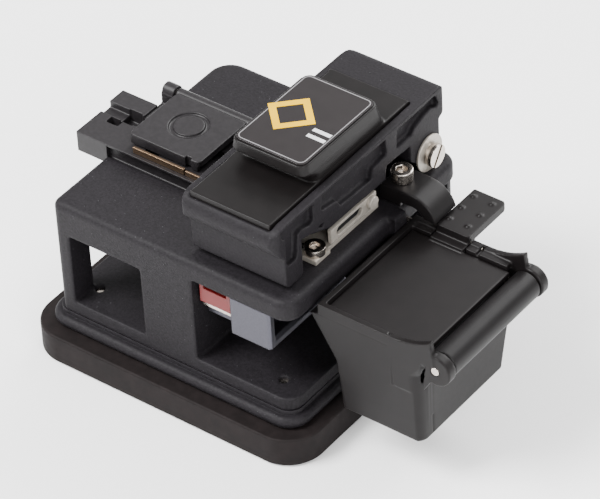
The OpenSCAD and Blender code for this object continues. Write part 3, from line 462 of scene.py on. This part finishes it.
# Collector bin: its rounded corner, the grooves beside the corner and the seam in the front wall
CORNER_R = 2.5 * MM
CORNER_STEPS = 12
CORNER_TOP = 16.8 * MM       # the corner keeps its full radius up to this height above the foot
CORNER_FADE = 5 * MM         # and fades out over this height
FADED_R = 0.3 * MM
FADED_CLEAR = 0.7 * MM
GROOVE_BACK = (3.0 * MM, 3.9 * MM)
GROOVE_W = 0.4 * MM
GROOVE_DEEP = 0.6 * MM
GROOVE_UP = 0.4 * MM         # from the foot
GROOVE_DOWN = 1.0 * MM       # from the top of the rounded corner
SEAM_UP = 21.9 * MM
SEAM_LONG = 18.5 * MM
SEAM_W = 0.3 * MM            # across and deep
PAST = 1.0 * MM              # how far the cutter reaches past the walls


def right_wall_foot_x():
    """The bin's right wall at its foot, where the mesh reaches furthest to the right."""
    mesh = frame["nodes"]["collector_bin"].data
    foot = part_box("collector_bin")[0].z + 0.1 * MM
    return max(vertex.co.x for vertex in mesh.vertices if vertex.co.z < foot)


def corner_ring(bm, x, y, z, radius):
    """Outline at height z of what lies outside the rounded corner at (x, y)."""
    outline = [(x + PAST, y - PAST), (x + PAST, y + radius)]
    for step in range(CORNER_STEPS + 1):
        angle = math.radians(-90 * step / CORNER_STEPS)
        outline.append((x + radius * (math.cos(angle) - 1), y + radius * (math.sin(angle) + 1)))
    outline.append((x - radius, y - PAST))
    return [bm.verts.new((px, py, z)) for px, py in outline]


def bin_cutter():
    """Rounds the bin's front right corner and cuts its seam and the two grooves beside the corner."""
    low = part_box("collector_bin")[0]
    face_x, face_y, foot_z = right_wall_foot_x(), low.y, low.z
    top_z = foot_z + CORNER_TOP
    bm = bmesh.new()
    rings = [corner_ring(bm, face_x, face_y, foot_z - PAST, CORNER_R),
             corner_ring(bm, face_x, face_y, top_z, CORNER_R),
             corner_ring(bm, face_x + FADED_CLEAR, face_y - FADED_CLEAR, top_z + CORNER_FADE, FADED_R)]
    count = len(rings[0])
    bm.faces.new(rings[0])
    bm.faces.new(list(reversed(rings[-1])))
    for lower, upper in zip(rings, rings[1:]):
        for i in range(count):
            k = (i + 1) % count
            bm.faces.new((lower[k], lower[i], upper[i], upper[k]))
    bmesh.ops.recalc_face_normals(bm, faces=bm.faces)
    for back in GROOVE_BACK:
        add_box(bm, (face_x - GROOVE_DEEP, face_x + PAST), (face_y + back, face_y + back + GROOVE_W),
                (foot_z + GROOVE_UP, top_z - GROOVE_DOWN))
    add_box(bm, (low.x - PAST, low.x + SEAM_LONG), (face_y - PAST, face_y + SEAM_W),
            (foot_z + SEAM_UP, foot_z + SEAM_UP + SEAM_W))
    mesh = bpy.data.meshes.new("bin_cutter")
    bm.to_mesh(mesh)
    bm.free()
    cutter = bpy.data.objects.new("bin_cutter", mesh)
    bpy.context.scene.collection.objects.link(cutter)
    return cutter


# Coated and moulded nodes, each with its (voxel in mm, rounds of relaxing)
SOFT = {
    "body_casting": (0.3, 4), "arm": (0.25, 4), "arm_cover": (0.22, 4), "collector_bin": (0.24, 2),
    "collector_lid": (0.2, 2), "collector_bracket": (0.2, 6), "fibre_guide": (0.16, 2),
    "clamp_lid": (0.16, 3), "carriage": (0.2, 3)}
# Edge widths of the machined nodes that differ from the usual one
EDGE_MM = {"rubber_mat": 0.5, "transport_roller": 0.4, "label_plate": 0.06, "label_mark": 0.01,
           "bracket_screw": 0.2, "lower_clamp_screws": 0.3}
DEFAULT_EDGE_MM = 0.12

pieces = {}
for node_name in frame["nodes"]:
    if node_name in SOFT:
        made_cutter = bin_cutter() if node_name == "collector_bin" else None
        pieces[node_name] = soft_copy(node_name, *SOFT[node_name], made_cutter)
    else:
        pieces[node_name] = finished_copy(node_name, EDGE_MM.get(node_name, DEFAULT_EDGE_MM))

# ---------------------------------------------------------------- label print and the rim's painted highlight

BARS_FROM_X = 19.4 * MM  # the bars lie to the right of this, the diamond to the left
RIM_INSET = 0.35 * MM
RIM_WIDTH = 0.22 * MM
RIM_HEIGHT = 0.05 * MM
RIM_OUTER_R = 1.3 * MM
RIM_INNER_R = 1.1 * MM


def whiten_bars():
    """The two bars of the mark are white ink, the diamond stays yellow."""
    mesh = pieces["label_mark"].data
    mesh.materials.append(WHITE_INK)
    for polygon in mesh.polygons:
        if polygon.center.x > BARS_FROM_X:
            polygon.material_index = 1


def rounded_loop(x0, x1, y0, y1, radius, steps=8):
    """Points round a rectangle with an arc of steps chords at each corner."""
    corners = ((x1 - radius, y1 - radius, 0), (x0 + radius, y1 - radius, 90),
               (x0 + radius, y0 + radius, 180), (x1 - radius, y0 + radius, 270))
    points = []
    for x, y, start in corners:
        for step in range(steps + 1):
            angle = math.radians(start + 90 * step / steps)
            points.append((x + radius * math.cos(angle), y + radius * math.sin(angle)))
    return points


def label_rim():
    """Thin raised rim just inside the label's edge; its light grey is a painted highlight, standing in
    for the light its clear edge catches.
    """
    low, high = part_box("label_plate")
    bm = bmesh.new()
    rings = []
    for inset, radius, rise in ((0, RIM_OUTER_R, -RIM_HEIGHT), (0, RIM_OUTER_R, RIM_HEIGHT),
                                (RIM_WIDTH, RIM_INNER_R, RIM_HEIGHT),
                                (RIM_WIDTH, RIM_INNER_R, -RIM_HEIGHT)):
        edge = RIM_INSET + inset
        loop = rounded_loop(low.x + edge, high.x - edge, low.y + edge, high.y - edge, radius)
        rings.append([bm.verts.new((x, y, high.z + rise)) for x, y in loop])
    count = len(rings[0])
    for ring, following in zip(rings, rings[1:] + rings[:1]):
        for i in range(count):
            k = (i + 1) % count
            bm.faces.new((ring[i], ring[k], following[k], following[i]))
    bmesh.ops.recalc_face_normals(bm, faces=bm.faces)
    mesh = bpy.data.meshes.new("label_rim")
    bm.to_mesh(mesh)
    bm.free()
    # the rim's light grey is a painted highlight
    place(add_object("label_rim", mesh, RIM_HIGHLIGHT_GREY), "arm", "label_gloss")


whiten_bars()
label_rim()
